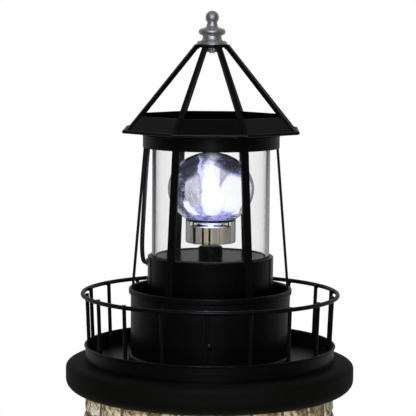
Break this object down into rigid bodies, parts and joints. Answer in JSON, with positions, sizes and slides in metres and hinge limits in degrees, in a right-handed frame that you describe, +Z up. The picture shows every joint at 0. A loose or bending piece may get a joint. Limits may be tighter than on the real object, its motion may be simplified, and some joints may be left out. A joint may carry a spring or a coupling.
{
  "type": "garden lighthouse ornament",
  "caption": "Garden lighthouse ornament: stone tower, black railed gallery, glazed lantern with a lit turning globe, open octagonal roof and finial.",
  "frame": {"origin": "centre of the tower's foot, on the ground", "axes": "+Z up along the tower's axis, front towards -Y, +X to the right"},
  "size_m": [0.3299, 0.33, 0.9137],
  "materials": {
    "stone": "rough cast stone, dry-brushed",
    "black_disc": "matte black paint on cast resin",
    "black_metal": "satin black enamel on sheet steel",
    "black_gloss": "gloss black enamel",
    "screw_black": "blackened screw",
    "zinc": "zinc plated",
    "dark_plastic": "moulded plastic",
    "white_plastic": "moulded plastic",
    "cell_wrap": "plain printed sleeve",
    "board_green": "solder mask",
    "board_white": "white solder mask",
    "motor_steel": "satin",
    "shaft_steel": "ground",
    "ring_brass": "polished",
    "cup_metal": "polished",
    "dish_metal": "mirror finish",
    "clear_plastic": "clear moulded acrylic",
    "globe_clear": "clear moulded acrylic",
    "lamp_white": "lit, cold white",
    "clear_glass": "clear glass",
    "rubber_grey": "soft",
    "finial_pewter": "satin pewter",
    "solar_blue": "silicon cell",
    "cable_black": "satin sheath"
  },
  "bodies": {
    "lighthouse": {"tower_shell": "stone", "gallery_base": "black_disc", "gallery_pan": "black_metal", "pan_screws": "zinc", "rail_ring": "black_metal", "balusters": "black_metal", "lamp_well": "black_metal", "well_brackets": "zinc", "well_screws": "screw_black", "lamp_housing": "black_gloss", "housing_base": "dark_plastic", "housing_screws": "zinc", "battery_door": "dark_plastic", "battery_1": "cell_wrap", "battery_2": "cell_wrap", "battery_contacts": "zinc", "circuit_board": "board_green", "switch_body": "dark_plastic", "gear_motor": "motor_steel", "motor_screws": "zinc", "brush_block": "white_plastic", "shaft_boss": "black_gloss", "glass_gaskets": "rubber_grey", "glass_cylinder": "clear_glass", "roof_collar": "black_metal", "ceiling_plate": "black_metal", "roof_brim": "black_metal", "roof_skirt": "black_metal", "apex_plate": "black_metal", "finial": "finial_pewter", "finial_nut": "zinc", "panel_tray": "dark_plastic", "solar_cell": "solar_blue", "panel_cover": "clear_plastic", "solar_cable": "cable_black", "cable_grommets": "rubber_grey", "post_1": "black_metal", "post_2": "black_metal", "post_3": "black_metal", "post_4": "black_metal", "post_5": "black_metal", "post_6": "black_metal", "rafter_1": "black_metal", "rafter_2": "black_metal", "rafter_3": "black_metal", "rafter_4": "black_metal", "rafter_5": "black_metal", "rafter_6": "black_metal", "rafter_7": "black_metal", "rafter_8": "black_metal"},
    "beacon": {"beacon_shaft": "shaft_steel", "slip_ring": "ring_brass", "lamp_sleeve": "clear_plastic", "beacon_cup": "cup_metal", "led_board": "board_white", "led_lamp": "lamp_white", "reflector_dish": "dish_metal", "globe": "globe_clear"},
    "switch": {"switch_slider": "dark_plastic"}
  },
  "joints": [
    {"name": "beacon_spin", "type": "hinge", "parent": "lighthouse", "child": "beacon", "pos_m": [0, 0, 0.7], "axis": [0, 0, 1], "continuous": true},
    {"name": "switch_slide", "type": "slide", "parent": "lighthouse", "child": "switch", "axis": [1, 0, 0], "range_m": [0, 0.004]}
  ]
}
